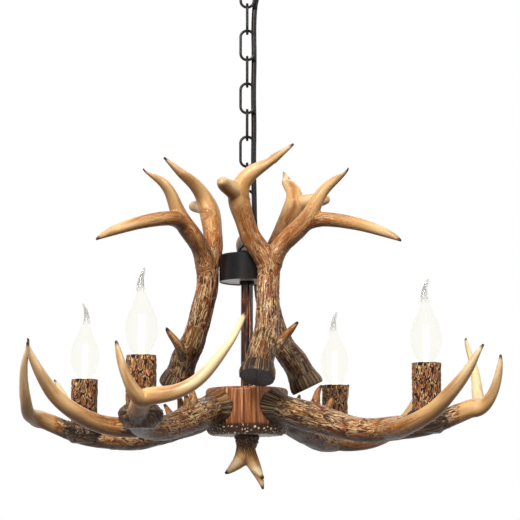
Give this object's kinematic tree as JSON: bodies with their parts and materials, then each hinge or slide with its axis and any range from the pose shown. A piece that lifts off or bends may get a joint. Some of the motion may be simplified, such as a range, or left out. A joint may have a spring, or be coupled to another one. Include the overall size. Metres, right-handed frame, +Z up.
{
  "type": "antler chandelier",
  "caption": "Chain-hung ceiling light with cast antler arms, bark candle sleeves and bent-tip bulbs round a turned hub, under a crown of upright antlers",
  "frame": {"origin": "centre of the ceiling strap's upper face, where the two ceiling screws hold the light", "axes": "+Z up to the ceiling, the light hangs along -Z; -Y faces the viewer of the picture, and +X is to the right"},
  "size_m": [0.5528, 0.5528, 0.653],
  "materials": {
    "antler_resin": "semi-gloss painted resin, cream ridges over brown",
    "bark_resin": "bark relief, brown with cream ridges",
    "black_metal": "black, semi-gloss",
    "dark_bronze": "dark bronze lacquer, glossy",
    "pale_plate": "pale satin",
    "plated_steel": "zinc plated",
    "cap_brass": "bright",
    "clear_glass": "clear, thin blown",
    "lit_filament": "glowing warm white",
    "stained_wood": "orange-brown stain, satin",
    "black_plastic": "matt black",
    "white_plastic": "matt white",
    "cable_sheath": "dark brown sheath"
  },
  "bodies": {
    "ceiling_mount": {"ceiling_strap": "plated_steel", "hollow_nipple": "plated_steel", "nipple_nut": "plated_steel", "terminal_block": "white_plastic", "canopy": "black_metal", "cable_bush_upper": "black_plastic", "canopy_loop": "black_metal", "supply_cable": "cable_sheath"},
    "link_01": {"chain_link_01": "black_metal"},
    "link_02": {"chain_link_02": "black_metal"},
    "link_03": {"chain_link_03": "black_metal"},
    "link_04": {"chain_link_04": "black_metal"},
    "link_05": {"chain_link_05": "black_metal"},
    "link_06": {"chain_link_06": "black_metal"},
    "link_07": {"chain_link_07": "black_metal"},
    "link_08": {"chain_link_08": "black_metal"},
    "link_09": {"chain_link_09": "black_metal"},
    "link_10": {"chain_link_10": "black_metal"},
    "fixture": {"crown_loop": "black_metal", "crown_cup": "black_metal", "crown_plate": "pale_plate", "cable_bush_lower": "black_plastic", "crown_screws": "plated_steel", "stem_collar": "black_metal", "stem_tube": "dark_bronze", "hub": "stained_wood", "hub_plate": "stained_wood", "arm_bolts": "plated_steel", "finial": "antler_resin", "lower_antler_1": "antler_resin", "lower_antler_2": "antler_resin", "lower_antler_3": "antler_resin", "lower_antler_4": "antler_resin", "upper_antler_1": "antler_resin", "upper_antler_2": "antler_resin", "upper_antler_3": "antler_resin", "candle_sleeve_1": "bark_resin", "lamp_holder_1": "black_plastic", "candle_sleeve_2": "bark_resin", "lamp_holder_2": "black_plastic", "candle_sleeve_3": "bark_resin", "lamp_holder_3": "black_plastic", "candle_sleeve_4": "bark_resin", "lamp_holder_4": "black_plastic"},
    "bulb_1": {"bulb_cap_1": "cap_brass", "bulb_glass_1": "clear_glass", "bulb_filament_1": "lit_filament"},
    "bulb_2": {"bulb_cap_2": "cap_brass", "bulb_glass_2": "clear_glass", "bulb_filament_2": "lit_filament"},
    "bulb_3": {"bulb_cap_3": "cap_brass", "bulb_glass_3": "clear_glass", "bulb_filament_3": "lit_filament"},
    "bulb_4": {"bulb_cap_4": "cap_brass", "bulb_glass_4": "clear_glass", "bulb_filament_4": "lit_filament"}
  },
  "joints": [
    {"name": "link_01_swing", "type": "hinge", "parent": "ceiling_mount", "child": "link_01", "pos_m": [0, 0, -0.05785], "axis": [0, 1, 0], "range_deg": [-10, 10], "deforming": ["supply_cable"]},
    {"name": "link_02_swing", "type": "hinge", "parent": "link_01", "child": "link_02", "pos_m": [0, 0, -0.08925], "axis": [1, 0, 0], "range_deg": [-10, 10], "deforming": ["supply_cable"]},
    {"name": "link_03_swing", "type": "hinge", "parent": "link_02", "child": "link_03", "pos_m": [0, 0, -0.12105], "axis": [0, 1, 0], "range_deg": [-10, 10], "deforming": ["supply_cable"]},
    {"name": "link_04_swing", "type": "hinge", "parent": "link_03", "child": "link_04", "pos_m": [0, 0, -0.15285], "axis": [1, 0, 0], "range_deg": [-10, 10], "deforming": ["supply_cable"]},
    {"name": "link_05_swing", "type": "hinge", "parent": "link_04", "child": "link_05", "pos_m": [0, 0, -0.18465], "axis": [0, 1, 0], "range_deg": [-10, 10], "deforming": ["supply_cable"]},
    {"name": "link_06_swing", "type": "hinge", "parent": "link_05", "child": "link_06", "pos_m": [0, 0, -0.21645], "axis": [1, 0, 0], "range_deg": [-10, 10], "deforming": ["supply_cable"]},
    {"name": "link_07_swing", "type": "hinge", "parent": "link_06", "child": "link_07", "pos_m": [0, 0, -0.24825], "axis": [0, 1, 0], "range_deg": [-10, 10], "deforming": ["supply_cable"]},
    {"name": "link_08_swing", "type": "hinge", "parent": "link_07", "child": "link_08", "pos_m": [0, 0, -0.28005], "axis": [1, 0, 0], "range_deg": [-10, 10], "deforming": ["supply_cable"]},
    {"name": "link_09_swing", "type": "hinge", "parent": "link_08", "child": "link_09", "pos_m": [0, 0, -0.31185], "axis": [0, 1, 0], "range_deg": [-10, 10], "deforming": ["supply_cable"]},
    {"name": "link_10_swing", "type": "hinge", "parent": "link_09", "child": "link_10", "pos_m": [0, 0, -0.34365], "axis": [1, 0, 0], "range_deg": [-10, 10], "deforming": ["supply_cable"]},
    {"name": "fixture_swing", "type": "hinge", "parent": "link_10", "child": "fixture", "pos_m": [0, 0, -0.37545], "axis": [0, 1, 0], "range_deg": [-10, 10], "deforming": ["supply_cable"]},
    {"name": "bulb_1_screw", "type": "hinge", "parent": "fixture", "child": "bulb_1", "pos_m": [0.19563, -0.10833, -0.53], "axis": [0, 0, 1], "range_deg": [0, 1440]},
    {"name": "bulb_2_screw", "type": "hinge", "parent": "fixture", "child": "bulb_2", "pos_m": [-0.10833, -0.19563, -0.53], "axis": [0, 0, 1], "range_deg": [0, 1440]},
    {"name": "bulb_3_screw", "type": "hinge", "parent": "fixture", "child": "bulb_3", "pos_m": [-0.19563, 0.10833, -0.53], "axis": [0, 0, 1], "range_deg": [0, 1440]},
    {"name": "bulb_4_screw", "type": "hinge", "parent": "fixture", "child": "bulb_4", "pos_m": [0.10833, 0.19563, -0.53], "axis": [0, 0, 1], "range_deg": [0, 1440]}
  ]
}
